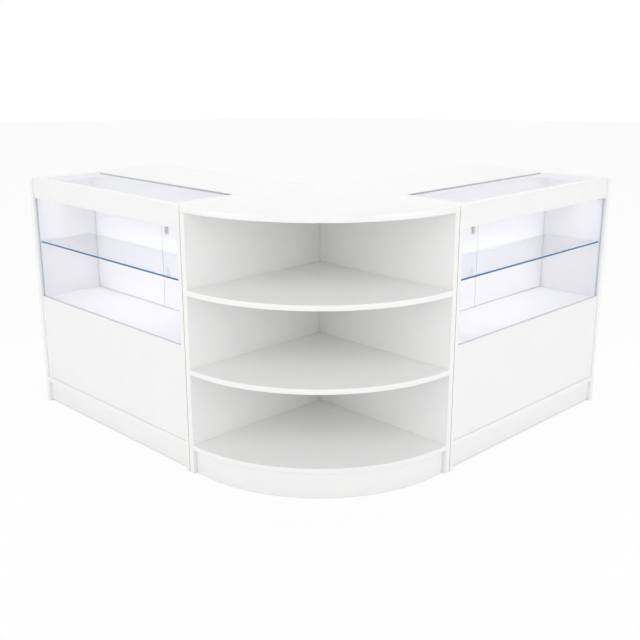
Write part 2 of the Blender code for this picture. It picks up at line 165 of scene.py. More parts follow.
class CounterFinish(PropertyGroup):
    """Colours and edge sizes of the counter's materials."""
    melamine: FloatVectorProperty(
        name="Melamine", description="White of the boards' faces", subtype="COLOR", size=3,
        min=0.0, max=1.0, default=linear("F8F8F7"))
    melamine_shade: FloatVectorProperty(
        name="Melamine Shade", description="Duller white that clouds the boards' faces", subtype="COLOR",
        size=3, min=0.0, max=1.0, default=linear("F4F4F4"))
    edging: FloatVectorProperty(
        name="Edging", description="White of the tape on the boards' edges", subtype="COLOR", size=3,
        min=0.0, max=1.0, default=linear("F8F8F7"))
    # Painted shade: this grey on the faces between two units stands in for the shade in the joint
    paper: FloatVectorProperty(
        name="Painted Joint Shade", description="Paper on the faces between two units", subtype="COLOR", size=3,
        min=0.0, max=1.0, default=linear("92908B"))
    glass_tint: FloatVectorProperty(
        name="Glass Tint", description="What one face of a pane lets through", subtype="COLOR", size=3,
        min=0.0, max=1.0, default=linear("FDFDFF"))
    glass_edge: FloatVectorProperty(
        name="Glass Edge", description="Deep blue of a pane seen through its ground edge", subtype="COLOR",
        size=3, min=0.0, max=1.0, default=linear("0A6290"))
    # Painted shade: a greyer frosted edge for a pane's edge in the dark of a groove
    glass_groove_shade: FloatVectorProperty(
        name="Glass Groove Shade", description="Frosted edge of a pane that sits in a groove", subtype="COLOR",
        size=3, min=0.0, max=1.0, default=linear("C8D1D7"))
    nickel: FloatVectorProperty(
        name="Nickel", description="Plating of hinges, knobs and lock barrels", subtype="COLOR", size=3,
        min=0.0, max=1.0, default=linear("C9C6BF"))
    zinc: FloatVectorProperty(
        name="Zinc", description="Plating of the lock's nut and cam", subtype="COLOR", size=3,
        min=0.0, max=1.0, default=linear("D0D3D8"))
    light: FloatVectorProperty(
        name="Light", description="Colour of the light bars", subtype="COLOR", size=3,
        min=0.0, max=1.0, default=linear("FFFDF4"))
    light_strength: FloatProperty(
        name="Light Strength", description="Brightness of a light bar's diffuser", min=0.0, default=24.5)
    board_round: FloatProperty(
        name="Board Edge Radius", description="Rounding of the boards' edge tape", unit="LENGTH",
        min=0.0001, max=0.003, default=0.0008)
    glass_arris: FloatProperty(
        name="Glass Arris", description="Width of the ground corner on a pane's edges", unit="LENGTH",
        min=0.0001, max=0.002, default=0.0008)


class CounterStage(PropertyGroup):
    """Studio and camera."""
    camera_place: FloatVectorProperty(
        name="Camera", description="Where the camera stands", subtype="TRANSLATION", size=3, unit="LENGTH",
        default=(2.4891, -2.4835, 1.3646))
    camera_turn: FloatProperty(
        name="Camera Turn", description="Turn about the upright, from looking along +Y", subtype="ANGLE",
        unit="ROTATION", default=math.radians(45.06))
    camera_dip: FloatProperty(
        name="Camera Dip", description="How far the camera looks down", subtype="ANGLE", unit="ROTATION",
        default=math.radians(16.30))
    lens: FloatProperty(
        name="Lens", description="Focal length on a 36 mm sensor", unit="CAMERA", min=10.0, default=51.97)
    dome: FloatProperty(
        name="Dome", description="Brightness of the white studio round the counter", min=0.0, default=0.60)
    overhead: FloatProperty(
        name="Overhead Lamp", description="Power of the softbox above", unit="POWER", min=0.0, default=30.0)
    front: FloatProperty(
        name="Front Lamp", description="Power of the softbox behind the camera", unit="POWER", min=0.0,
        default=34.0)
    side: FloatProperty(
        name="Side Lamps", description="Power of each softbox that faces a counter", unit="POWER", min=0.0,
        default=35.0)
    floor: FloatVectorProperty(
        name="Floor", description="White of the studio floor", subtype="COLOR", size=3, min=0.0, max=1.0,
        default=linear("FEFEFE"))


def add_node(tree, kind, inputs=None, **settings):
    """Adds a node with its settings; each input is a value, or an output to link from."""
    made = tree.nodes.new(kind)
    for name, value in settings.items():
        setattr(made, name, value)
    for name, value in (inputs or {}).items():
        if isinstance(value, NodeSocket):
            tree.links.new(value, made.inputs[name])
        else:
            made.inputs[name].default_value = value
    return made


def new_material(name):
    """An empty material with its output, and the tree they are in."""
    made = bpy.data.materials.new(name)
    made.use_nodes = True
    made.node_tree.nodes.clear()
    return made, made.node_tree, add_node(made.node_tree, "ShaderNodeOutputMaterial")


def noise(tree, size, detail, drawn=None):
    """Noise over the object, with features of a size in metres, drawn out where an axis is scaled down."""
    place = add_node(tree, "ShaderNodeTexCoord").outputs["Object"]
    if drawn:
        place = add_node(tree, "ShaderNodeMapping", {"Vector": place, "Scale": drawn}).outputs[0]
    made = add_node(tree, "ShaderNodeTexNoise", {"Vector": place, "Scale": 1 / size, "Detail": detail})
    return made.outputs["Fac"]


def blend(tree, amount, first, second):
    """A colour that goes from one to another."""
    made = add_node(tree, "ShaderNodeMix", {0: amount, 6: (*first, 1.0), 7: (*second, 1.0)},
                    data_type="RGBA")
    return made.outputs[2]


def spread(tree, value, least, most, span=(0.0, 1.0)):
    """A value within a span, laid out between two others."""
    made = add_node(tree, "ShaderNodeMapRange", {"Value": value, "From Min": span[0], "From Max": span[1],
                                                 "To Min": least, "To Max": most})
    return made.outputs["Result"]


def relief(tree, height, strength, depth):
    """The normals of a surface that rises and falls by a depth in metres."""
    made = add_node(tree, "ShaderNodeBump", {"Height": height, "Strength": strength, "Distance": depth})
    return made.outputs["Normal"]


def calculate(tree, operation, *values):
    """The result of one sum on numbers and outputs."""
    return add_node(tree, "ShaderNodeMath", dict(enumerate(values)), operation=operation).outputs[0]


def vector_sum(tree, operation, *values):
    """The result of one sum on vectors."""
    return add_node(tree, "ShaderNodeVectorMath", dict(enumerate(values)), operation=operation).outputs[0]


def coat(tree, output, inputs):
    """Ends a material in one shader with these inputs."""
    shader = add_node(tree, "ShaderNodeBsdfPrincipled", inputs)
    tree.links.new(shader.outputs[0], output.inputs["Surface"])


def white_melamine(finish):
    """Melamine paper pressed on chipboard by a pearl-grained plate.

    The eye gets a satin white that clouds a little across a board, and a sheen broken by fine pimples.
    """
    made, tree, output = new_material("white melamine")
    # Paper lies unevenly over chips: clouds of about 90 mm
    cloud = noise(tree, 0.090, 3.0)
    # Pearl grain is 0.6 mm across; drawn at 2 mm so that it shows at all
    pearl = noise(tree, 0.002, 2.0)
    coat(tree, output, {"Base Color": blend(tree, cloud, finish.melamine, finish.melamine_shade),
                        "Roughness": spread(tree, pearl, 0.54, 0.64, NOISE_SPAN),
                        "Normal": relief(tree, pearl, 0.12, 0.0001), "IOR": MELAMINE_IOR})
    return made


def white_edging(finish):
    """Extruded ABS tape glued round a board and scraped flush.

    The eye gets the face's white, only smoother and glossier, with faint scraper chatter.
    """
    made, tree, output = new_material("white ABS edging")
    # Scraper chatter is about 1.5 mm apart
    chatter = noise(tree, 0.0015, 1.0)
    # The tape's white drifts over about 200 mm
    drift = noise(tree, 0.200, 2.0)
    coat(tree, output, {"Base Color": blend(tree, drift, finish.edging, finish.melamine),
                        "Roughness": spread(tree, chatter, 0.27, 0.35, NOISE_SPAN),
                        "Normal": relief(tree, chatter, 0.06, 0.0001), "IOR": ABS_IOR})
    return made


def painted_joint_shade(finish):
    """Painted shade for the face of a board that stands against the next unit.

    The eye gets a dull grey in the joint, painted where shade falls between two units, cloudy in small
    patches.
    """
    made, tree, output = new_material("painted joint shade")
    # Mottled in clouds of about 6 mm
    mottle = noise(tree, 0.006, 4.0)
    coat(tree, output, {"Base Color": blend(tree, mottle, linear(JOINT_SHADE_DEEP), finish.paper),
                        "Roughness": 0.85})
    return made


def float_glass(finish):
    """Clear float glass, fire-polished on both faces.

    The eye gets what lies behind it, a breath bluer, under a mirror skin that grows towards grazing.
    """
    made, tree, output = new_material("float glass")
    facing = add_node(tree, "ShaderNodeLayerWeight", {"Blend": 0.5}).outputs["Facing"]
    steep = calculate(tree, "POWER", facing, 5.0)
    skin = calculate(tree, "MULTIPLY_ADD", steep, 1.0 - GLASS_MIRROR, GLASS_MIRROR)
    # The face that light enters by stands for both faces' reflections, which lie on each other in a thin
    # pane
    inside = add_node(tree, "ShaderNodeNewGeometry").outputs["Backfacing"]
    skin = calculate(tree, "MULTIPLY", skin, calculate(tree, "SUBTRACT", 1.0, inside))
    # Float ripple, waves of about 60 mm
    ripple = relief(tree, noise(tree, 0.060, 1.0), 0.005, 0.001)
    clear = add_node(tree, "ShaderNodeBsdfTransparent", {"Color": (*finish.glass_tint, 1.0)})
    mirror = add_node(tree, "ShaderNodeBsdfPrincipled", {"Base Color": (*linear(GLASS_SHEEN), 1.0),
                                                         "Metallic": 1.0, "Roughness": 0.02,
                                                         "Normal": ripple})
    mixed = add_node(tree, "ShaderNodeMixShader", {0: skin, 1: clear.outputs[0], 2: mirror.outputs[0]})
    tree.links.new(mixed.outputs[0], output.inputs["Surface"])
    return made


def ground_edge(name, deep, pale):
    """A pane's edge, ground and polished, through which the whole width of the glass is seen.

    The eye gets the glass's own colour, built up to a blue, uneven along the edge.
    """
    made, tree, output = new_material(name)
    # Light gathers in the edge in stretches of about 50 mm
    stretch = noise(tree, 0.050, 2.0)
    # Wheel marks, 0.8 mm apart
    wheel = noise(tree, 0.0008, 1.0)
    coat(tree, output, {"Base Color": blend(tree, stretch, deep, pale),
                        "Roughness": spread(tree, wheel, 0.25, 0.40),
                        "IOR": GLASS_IOR, "Specular IOR Level": 0.05})
    return made


def lit_edge(finish):
    """A ground edge in the light of the display, with that light painted in as paler blues."""
    return ground_edge("lit glass edge", finish.glass_edge, linear(LIT_EDGE_PALE))


def shaded_edge(finish):
    """A ground edge, painted in darker blues for the shade of its rebate."""
    return ground_edge("shaded glass edge", linear(SHADED_EDGE_DEEP), linear(SHADED_EDGE_PALE))


def rubbed_edge(name, frost, dull):
    """A pane's edge with only its corners rubbed down.

    The eye gets a frosted, pale grey-blue band.
    """
    made, tree, output = new_material(name)
    # Chips of the cut, about 1 mm across
    chips = noise(tree, 0.001, 2.0)
    coat(tree, output, {"Base Color": blend(tree, chips, frost, dull), "Roughness": 0.55,
                        "Normal": relief(tree, chips, 0.3, 0.0001), "IOR": GLASS_IOR})
    return made


def groove_shaded_edge(finish):
    """An edge that sits in a groove, painted greyer for the dark of the groove."""
    return rubbed_edge("groove-shaded glass edge", finish.glass_groove_shade, linear(GROOVE_SHADE_DULL))


def bright_edge(finish):
    """An edge that stands in the light of the display, painted paler for that light."""
    return rubbed_edge("bright glass edge", linear(BRIGHT_EDGE), linear(BRIGHT_EDGE_DULL))


def plated(name, colour, least, most):
    """Steel, tumbled and then plated, with the least and most roughness of its patches.

    The eye gets a metal mirror, softened by tumbling marks of about 1.2 mm and dulled in patches of 15 mm.
    """
    made, tree, output = new_material(name)
    marks = noise(tree, 0.0012, 3.0)
    patch = noise(tree, 0.015, 2.0)
    dull = [PLATING_DULLED * part for part in colour]
    coat(tree, output, {"Base Color": blend(tree, patch, colour, dull), "Metallic": 1.0,
                        "Roughness": spread(tree, patch, least, most, NOISE_SPAN),
                        "Normal": relief(tree, marks, 0.10, 0.00005)})
    return made


def nickel_plated_steel(finish):
    """Bright nickel over pressed steel."""
    return plated("nickel-plated steel", finish.nickel, 0.18, 0.30)


def zinc_plated_steel(finish):
    """Blue-passivated zinc over pressed steel, cooler and duller than nickel."""
    return plated("zinc-plated steel", finish.zinc, 0.32, 0.46)


def anodised_aluminium(finish):
    """Extruded aluminium, etched and anodised.

    The eye gets a pale satin metal with fine lines drawn along the bar by the die.
    """
    made, tree, output = new_material("anodised aluminium")
    # Die lines lie 0.4 mm apart in height and are drawn out level, so they run with the bar on either
    # counter
    lines = noise(tree, 0.0004, 1.0, (0.01, 0.01, 1.0))
    coat(tree, output, {"Base Color": (*linear(ALUMINIUM), 1.0), "Metallic": 1.0,
                        "Roughness": spread(tree, lines, 0.28, 0.42),
                        "Normal": relief(tree, lines, 0.08, 0.00005)})
    return made


def sight_along(tree, way):
    """How far light leaves along a direction: 1 along it, 0 square to it."""
    way = vector_sum(tree, "NORMALIZE", way)
    facing = add_node(tree, "ShaderNodeLayerWeight", {"Blend": 0.5, "Normal": way}).outputs["Facing"]
    return calculate(tree, "SUBTRACT", 1.0, facing)


def lens_polycarbonate(finish):
    """Strip lens with a row of small lamps behind it.

    The eye gets a white strip, brightest from below, a little brighter in front of each lamp.
    """
    made, tree, output = new_material("lens polycarbonate")
    # Lamps sit about 17 mm apart
    glow = spread(tree, noise(tree, 0.017, 0.0), (1.0 - LAMP_SHOWS) * finish.light_strength,
                  (1.0 + LAMP_SHOWS) * finish.light_strength, NOISE_SPAN)
    # The lens lies at 45 degrees, bends the beam down to 24 degrees from the plumb line, and narrows it
    # more across the bar than along it
    face = add_node(tree, "ShaderNodeNewGeometry").outputs["Normal"]
    straight = sight_along(tree, vector_sum(tree, "ADD", face, (0.0, 0.0, -LENS_BEND)))
    skew = sight_along(tree, vector_sum(tree, "CROSS_PRODUCT", face, (0.0, 0.0, 1.0)))
    level = calculate(tree, "COSINE", calculate(tree, "ARCSINE", skew))
    beam = calculate(tree, "POWER", calculate(tree, "DIVIDE", straight, level), LENS_FOCUS)
    for part in (straight, straight, glow):
        beam = calculate(tree, "MULTIPLY", beam, part)
    coat(tree, output, {"Base Color": (*linear(LENS), 1.0), "Roughness": 0.4, "IOR": POLYCARBONATE_IOR,
                        "Emission Color": (*finish.light, 1.0), "Emission Strength": beam})
    return made


def moulded(name, colour, grain):
    """Injection-moulded plastic from a spark-eroded mould.

    The eye gets an even matt white, with a fine grain that breaks the highlight.
    """
    made, tree, output = new_material(name)
    spark = noise(tree, grain, 2.0)
    dull = [MOULD_DULLED * part for part in colour]
    coat(tree, output, {"Base Color": blend(tree, spark, colour, dull),
                        "Roughness": spread(tree, spark, 0.40, 0.56),
                        "Normal": relief(tree, spark, 0.15, 0.00005), "IOR": ABS_IOR})
    return made


def white_nylon(finish):
    """Shelf pegs: nylon, grain about 0.3 mm."""
    return moulded("white nylon", linear(NYLON), 0.0003)


def white_abs(finish):
    """Catch housing and light bar caps: ABS, grain about 0.5 mm."""
    return moulded("moulded ABS", linear(MOULDED_ABS), 0.0005)


def seen_straight(tree):
    """1 for what the camera sees directly, off a mirror or through a pane, and 0 for all other light."""
    path = add_node(tree, "ShaderNodeLightPath")
    seen = calculate(tree, "MAXIMUM", path.outputs["Is Camera Ray"], path.outputs["Is Glossy Ray"])
    return calculate(tree, "MAXIMUM", seen, path.outputs["Is Transmission Ray"])


def studio_paint(stage):
    """Painted studio floor.

    The eye gets a matt white that keeps the counter's shadow, most of it washed out before the camera.
    """
    made, tree, output = new_material("white studio floor")
    # Roller marks of about 30 mm
    roller = relief(tree, noise(tree, 0.030, 2.0), 0.02, 0.0005)
    matt = add_node(tree, "ShaderNodeBsdfDiffuse", {"Color": (*stage.floor, 1.0), "Normal": roller})
    white = add_node(tree, "ShaderNodeEmission", {"Color": WHITE, "Strength": 1.0})
    # The wash stops within 6 mm of the counter, so that it still stands on a dark contact line
    near = add_node(tree, "ShaderNodeAmbientOcclusion", {"Distance": 0.006}, samples=8).outputs["AO"]
    washed = calculate(tree, "MULTIPLY", calculate(tree, "MULTIPLY", seen_straight(tree), near), FLOOR_WASH)
    mixed = add_node(tree, "ShaderNodeMixShader", {0: washed, 1: matt.outputs[0], 2: white.outputs[0]})
    tree.links.new(mixed.outputs[0], output.inputs["Surface"])
    return made


def material(maker):
    """A material of this file, made the first time it is asked for."""
    made = bpy.context.scene.get("counter_materials")
    kept = dict(made) if made else {}
    if maker.__name__ not in kept:
        kept[maker.__name__] = maker(bpy.context.scene.counter_finish).name
        bpy.context.scene["counter_materials"] = kept
    return bpy.data.materials[kept[maker.__name__]]


def counter_box(side, piece):
    """A CAD node's lowest and highest corner in its counter's own u, v and z."""
    ends = [LAID[side].inverted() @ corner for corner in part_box(side + "_" + piece)]
    return Vector(map(min, *ends)), Vector(map(max, *ends))


def lay(side, shape):
    """Moves a shape drawn in u, v and z to where its counter stands."""
    bmesh.ops.transform(shape, matrix=LAID[side], space=Matrix.Identity(4), verts=shape.verts)
    if LAID[side].determinant() < 0:
        bmesh.ops.reverse_faces(shape, faces=shape.faces)
    return shape


def make_piece(name, shape, makers, body, slot, *nodes):
    """Makes an object of a shape that lies in the frame, hangs it on the body it rides on, and hides the
    CAD nodes it stands for.
    """
    mesh = bpy.data.meshes.new(name)
    shape.normal_update()
    shape.to_mesh(mesh)
    shape.free()
    for maker in makers:
        mesh.materials.append(material(maker))
    piece = bpy.data.objects.new(name, mesh)
    bpy.context.scene.collection.objects.link(piece)
    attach(piece, body)
    if nodes:
        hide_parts(*nodes)


def add_block(shape, low, high):
    """Adds a block between two corners."""
    middle = (Vector(low) + Vector(high)) / 2
    size = Vector(high) - Vector(low)
    place = Matrix.Translation(middle) @ Matrix.Diagonal((*size, 1.0))
    return bmesh.ops.create_cube(shape, size=1.0, matrix=place)["verts"]


def add_bar(shape, outline, start, end):
    """Draws a closed outline of v and z pairs out along u."""
    rim = [shape.verts.new((start, v, z)) for v, z in outline]
    face = shape.faces.new(rim)
    grown = bmesh.ops.extrude_face_region(shape, geom=[face])["geom"]
    moved = [item for item in grown if isinstance(item, bmesh.types.BMVert)]
    bmesh.ops.translate(shape, verts=moved, vec=(end - start, 0.0, 0.0))


def add_turned(shape, centre, along, profile, closed=False):
    """Spins a profile of (radius, distance along the axis) pairs once round an axis."""
    axis = Vector((0.0, 0.0, 0.0))
    axis[along] = 1.0
    verts = []
    for radius, distance in profile:
        point = Vector(centre)
        point[(along + 1) % 3] += radius
        point[along] += distance
        verts.append(shape.verts.new(point))
    pairs = list(zip(verts, verts[1:]))
    if closed:
        pairs.append((verts[-1], verts[0]))
    edges = [shape.edges.new(pair) for pair in pairs]
    bmesh.ops.spin(shape, geom=verts + edges, cent=centre, axis=axis, angle=2 * math.pi, steps=ROUND_STEPS,
                   use_merge=True, use_duplicate=False)


def close_up(shape):
    """Merges a spun shape's doubled points and turns its faces outwards."""
    bmesh.ops.remove_doubles(shape, verts=shape.verts, dist=MERGE)
    bmesh.ops.recalc_face_normals(shape, faces=shape.faces)


def copy_of(node):
    """A CAD node's solid as a shape of whole faces."""
    shape = bmesh.new()
    shape.from_mesh(frame["nodes"][node].data)
    bmesh.ops.remove_doubles(shape, verts=shape.verts, dist=MERGE)
    bmesh.ops.dissolve_limit(shape, angle_limit=math.radians(0.5), verts=shape.verts, edges=shape.edges,
                             use_dissolve_boundaries=False)
    return shape


def soften(shape, radius, segments, least=40.0):
    """Rounds the outer edges that are sharper than an angle in degrees, and leaves inner corners as cut."""
    shape.normal_update()
    sharp = [edge for edge in shape.edges if edge.is_manifold and edge.is_convex
             and edge.calc_face_angle() > math.radians(least)]
    made = bmesh.ops.bevel(shape, geom=sharp, offset=radius, offset_type="OFFSET", affect="EDGES",
                           segments=segments, profile=0.5, material=-1, clamp_overlap=True)
    shape.normal_update()
    for face in made["faces"]:
        face.smooth = True


def shade_round(shape, limit=35.0):
    """Smooth over curves, with the edges sharper than an angle in degrees kept crisp."""
    shape.normal_update()
    for face in shape.faces:
        face.smooth = True
    for edge in shape.edges:
        edge.smooth = edge.is_manifold and edge.calc_face_angle() < math.radians(limit)


def shade_joint_face(shape, outward):
    """Sets back the face that stands against the next unit and gives it the painted joint shade."""
    shape.normal_update()
    for face in shape.faces:
        if face.normal.dot(outward) > FLAT:
            face.material_index = JOINT_SHADED
            bmesh.ops.translate(shape, vec=-JOINT_SETBACK * outward, verts=face.verts)


def dress_board(node, shape):
    """Rounds a board's edges, faces it with melamine and tapes its edges."""
    low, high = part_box(node)
    size = high - low
    thin = min(range(3), key=lambda axis: size[axis])
    soften(shape, bpy.context.scene.counter_finish.board_round, 2)
    makers = [white_melamine, white_edging]
    for face in shape.faces:
        if abs(face.normal[thin]) < FLAT:
            face.material_index = EDGE
            if max(abs(part) for part in face.normal) < SQUARE:
                face.smooth = True
        # A face against the next unit takes the painted joint shade
        elif face.material_index == JOINT_SHADED:
            makers = [white_melamine, white_edging, painted_joint_shade]
    make_piece(node + "_board", shape, makers, BODY_OF[node], "board", node)


def sawn_board(node):
    """A plain board, from its CAD node's box."""
    shape = bmesh.new()
    add_block(shape, *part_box(node))
    dress_board(node, shape)


class COUNTER_OT_boards(Operator):
    """Dress the sawn boards, doors and grooved boards of both display counters"""
    bl_idname = "counter.boards"
    bl_label = "Counter Boards"

    def execute(self, context):
        for side in SIDES:
            for piece in ("base_shelf", "kickboard", "rear_kickboard", "display_floor", "display_rail",
                          "storage_shelf", "outer_door"):
                sawn_board(side + "_" + piece)
            for piece in ("fascia", "lower_front_panel", "serving_top", "inner_door"):
                dress_board(side + "_" + piece, copy_of(side + "_" + piece))
        return {"FINISHED"}


class COUNTER_OT_end_panels(Operator):
    """Dress the full-height end panels and set the shelf pegs in them"""
    bl_idname = "counter.end_panels"
    bl_label = "End Panels and Pegs"

    def execute(self, context):
        for side in SIDES:
            shelves = [counter_box(side, shelf) for shelf in ("glass_shelf", "storage_shelf")]
            spots = [(v, low.z - SEAT - PEG_RADIUS) for low, high in shelves
                     for v in (low.y + PEG_INSET, high.y - PEG_INSET)]
            for end, inward in (("inner_end_panel", 1.0), ("outer_end_panel", -1.0)):
                low, high = counter_box(side, end)
                if inward > 0:
                    high.x = low.x + BOARD
                else:
                    low.x = high.x - BOARD
                face = high.x if inward > 0 else low.x
                panel = bmesh.new()
                add_block(panel, low, high)
                if inward > 0:
                    # The face against the corner unit takes the painted joint shade
                    shade_joint_face(panel, Vector((-1.0, 0.0, 0.0)))
                dress_board(side + "_" + end, lay(side, panel))
                pegs = bmesh.new()
                profile = [(0.0, 0.0), (PEG_COLLAR_RADIUS, 0.0), (PEG_COLLAR_RADIUS, PEG_COLLAR * 0.6),
                           (PEG_COLLAR_RADIUS - PEG_COLLAR * 0.4, PEG_COLLAR), (PEG_RADIUS, PEG_COLLAR),
                           (PEG_RADIUS, PEG_LENGTH - PEG_TIP), (PEG_RADIUS - PEG_TIP, PEG_LENGTH),
                           (0.0, PEG_LENGTH)]
                for v, z in spots:
                    add_turned(pegs, (face, v, z), 0,
                               [(radius, inward * along) for radius, along in profile])
                close_up(pegs)
                lay(side, pegs)
                shade_round(pegs)
                make_piece(side + "_" + end + "_pegs", pegs, (white_nylon,), BODY_OF[side + "_" + end],
                           "board")
        return {"FINISHED"}


class COUNTER_OT_corner_boards(Operator):
    """Dress the boards of the quarter-round corner shelf unit"""
    bl_idname = "counter.corner_boards"
    bl_label = "Corner Boards"

    def execute(self, context):
        for piece, outward in (("left_panel", (-1.0, 0.0, 0.0)), ("right_panel", (0.0, 1.0, 0.0))):
            panel = bmesh.new()
            add_block(panel, *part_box("corner_" + piece))
            # Each panel's face against its counter takes the painted joint shade
            shade_joint_face(panel, Vector(outward))
            dress_board("corner_" + piece, panel)
        for piece in ("top", "shelf_1", "shelf_2", "base_shelf"):
            dress_board("corner_" + piece, copy_of("corner_" + piece))
        # The bent kickboard is scribed to the floor
        kick = copy_of("corner_kickboard")
        clear = min(vert.co.z for vert in kick.verts) + SAME_HEIGHT
        for vert in kick.verts:
            if vert.co.z < clear:
                vert.co.z = SCRIBED
        soften(kick, context.scene.counter_finish.board_round, 2)
        for face in kick.faces:
            face.material_index = EDGE if abs(face.normal.z) > 0.5 else 0
            if abs(face.normal.z) < 0.5:
                face.smooth = True
        make_piece("corner_kickboard_board", kick, (white_melamine, white_edging),
                   BODY_OF["corner_kickboard"], "board", "corner_kickboard")
        return {"FINISHED"}


class COUNTER_OT_panes(Operator):
    """Make the front panes, top panes and glass shelves"""
    bl_idname = "counter.panes"
    bl_label = "Glass Panes"

    def execute(self, context):
        for side in SIDES:
            # The one edge that is polished: towards the staff, towards the customer, or none
            for piece, polished, edges in (("front_glass", 0.0, (shaded_edge, groove_shaded_edge)),
                                           ("top_glass", -1.0, (shaded_edge, bright_edge)),
                                           ("glass_shelf", 1.0, (lit_edge, bright_edge))):
                node = side + "_" + piece
                low, high = counter_box(side, piece)
                size = high - low
                thin = min(range(3), key=lambda axis: size[axis])
                pane = bmesh.new()
                add_block(pane, low, high)
                soften(pane, context.scene.counter_finish.glass_arris, 1)
                for face in pane.faces:
                    face.smooth = False
                    if abs(face.normal[thin]) < FLAT:
                        face.material_index = GROUND if face.normal.y * polished > 0.5 else RUBBED
                lay(side, pane)
                make_piece(node + "_pane", pane, (float_glass, *edges), BODY_OF[node], "glass", node)
        return {"FINISHED"}


class COUNTER_OT_hinges(Operator):
    """Dress the continuous hinges of the doors"""
    bl_idname = "counter.hinges"
    bl_label = "Door Hinges"

    def execute(self, context):
        for side in SIDES:
            for piece in ("inner_door_hinge", "inner_door_hinge_frame", "outer_door_hinge",
                          "outer_door_hinge_frame"):
                node = side + "_" + piece
                leaf = copy_of(node)
                soften(leaf, LEAF_ROUND, 1, least=60.0)
                shade_round(leaf)
                make_piece(node + "_leaf", leaf, (nickel_plated_steel,), BODY_OF[node], "steel", node)
        return {"FINISHED"}


class COUNTER_OT_locks(Operator):
    """Make the cam locks: barrel, nut and cam"""
    bl_idname = "counter.locks"
    bl_label = "Cam Locks"

    def execute(self, context):
        for side in SIDES:
            low, high = counter_box(side, "lock_body")
            spot = ((low.x + high.x) / 2, 0.0, (low.z + high.z) / 2)
            radius = (high.x - low.x) / 2
            barrel = radius * 0.75
            bore = radius * 0.525
            lead = 0.0006
            crown = 0.0012
            knee = 0.0004
            flange = 0.002
            body = bmesh.new()
            add_turned(body, spot, 1, [(bore, low.y + lead), (bore + lead, low.y), (radius - crown, low.y),
                                       (radius - knee, low.y + knee), (radius, low.y + crown),
                                       (radius, low.y + flange), (barrel, low.y + flange), (barrel, high.y),
                                       (bore, high.y)], closed=True)
            close_up(body)
            lay(side, body)
            shade_round(body)
            node = side + "_lock_body"
            make_piece(node + "_barrel", body, (nickel_plated_steel,), BODY_OF[node], "steel", node)
            for piece, word in (("lock_nut", "hexagon"), ("lock_cam", "lever")):
                node = side + "_" + piece
                shape = copy_of(node)
                soften(shape, LOCK_ROUND, 2, least=50.0)
                shade_round(shape)
                make_piece(node + "_" + word, shape, (zinc_plated_steel,), BODY_OF[node], "steel", node)
        return {"FINISHED"}


class COUNTER_OT_knobs(Operator):
    """Turn the knobs of the doors without locks"""
    bl_idname = "counter.knobs"
    bl_label = "Door Knobs"

    def execute(self, context):
        for side in SIDES:
            node = side + "_outer_door_knob"
            low, high = counter_box(side, "outer_door_knob")
            foot = ((low.x + high.x) / 2, high.y, (low.z + high.z) / 2)
            wide = (high.x - low.x) / 2
            long = high.y - low.y
            # Foot, waist, swell and crown, as shares of the knob's radius and length
            profile = [(0.0, 0.0), (0.60, 0.0), (0.58, 0.05), (0.48, 0.12), (0.46, 0.22), (0.47, 0.37),
                       (0.58, 0.46), (0.80, 0.55), (0.95, 0.63), (1.0, 0.71), (0.99, 0.80), (0.91, 0.89),
                       (0.74, 0.955), (0.46, 0.99), (0.0, 1.0)]
            knob = bmesh.new()
            add_turned(knob, foot, 1, [(wide * radius, -long * along) for radius, along in profile])
            close_up(knob)
            lay(side, knob)
            shade_round(knob, limit=50.0)
            make_piece(node + "_turned", knob, (nickel_plated_steel,), BODY_OF[node], "steel", node)
        return {"FINISHED"}


class COUNTER_OT_catches(Operator):
    """Make the magnetic catches on the rails: housing, pole plates and screws"""
    bl_idname = "counter.catches"
    bl_label = "Door Catches"

    def execute(self, context):
        metal = 1
        proud = 0.0006
        head = 0.0012
        plate_place, plate_half, plate_deep = 0.013, 0.007, 0.003
        plate_foot, plate_top = 0.002, 0.0055
        screw_place = 0.016
        # A domed screw head with a shallow dish, as radius and height
        screw = [(0.0, 0.0006), (0.0012, 0.0009), (0.0026, 0.0007), (0.0032, 0.0001), (0.0032, -0.0006),
                 (0.0, -0.0006)]
        for side in SIDES:
            node = side + "_door_catch"
            low, high = counter_box(side, "door_catch")
            rail_low = counter_box(side, "display_rail")[0]
            middle = (low.x + high.x) / 2
            housing = bmesh.new()
            add_block(housing, low + Vector((0.0, proud, 0.0)), high - Vector((0.0, head, 0.0)))
            soften(housing, HOUSING_ROUND, 3)
            for step in (-1.0, 1.0):
                plate = add_block(
                    housing, (middle + step * plate_place - plate_half, low.y, low.z + plate_foot),
                    (middle + step * plate_place + plate_half, low.y + plate_deep, low.z + plate_top))
                for face in {face for vert in plate for face in vert.link_faces}:
                    face.material_index = metal
                spot = (middle + step * screw_place, high.y - head, (rail_low.z + high.z) / 2)
                start = len(housing.verts)
                add_turned(housing, spot, 1, screw)
                housing.verts.ensure_lookup_table()
                for face in {face for vert in housing.verts[start:] for face in vert.link_faces}:
                    face.material_index = metal
            close_up(housing)
            lay(side, housing)
            shade_round(housing)
            make_piece(node + "_housing", housing, (white_abs, nickel_plated_steel), BODY_OF[node], "catch",
                       node)
        return {"FINISHED"}


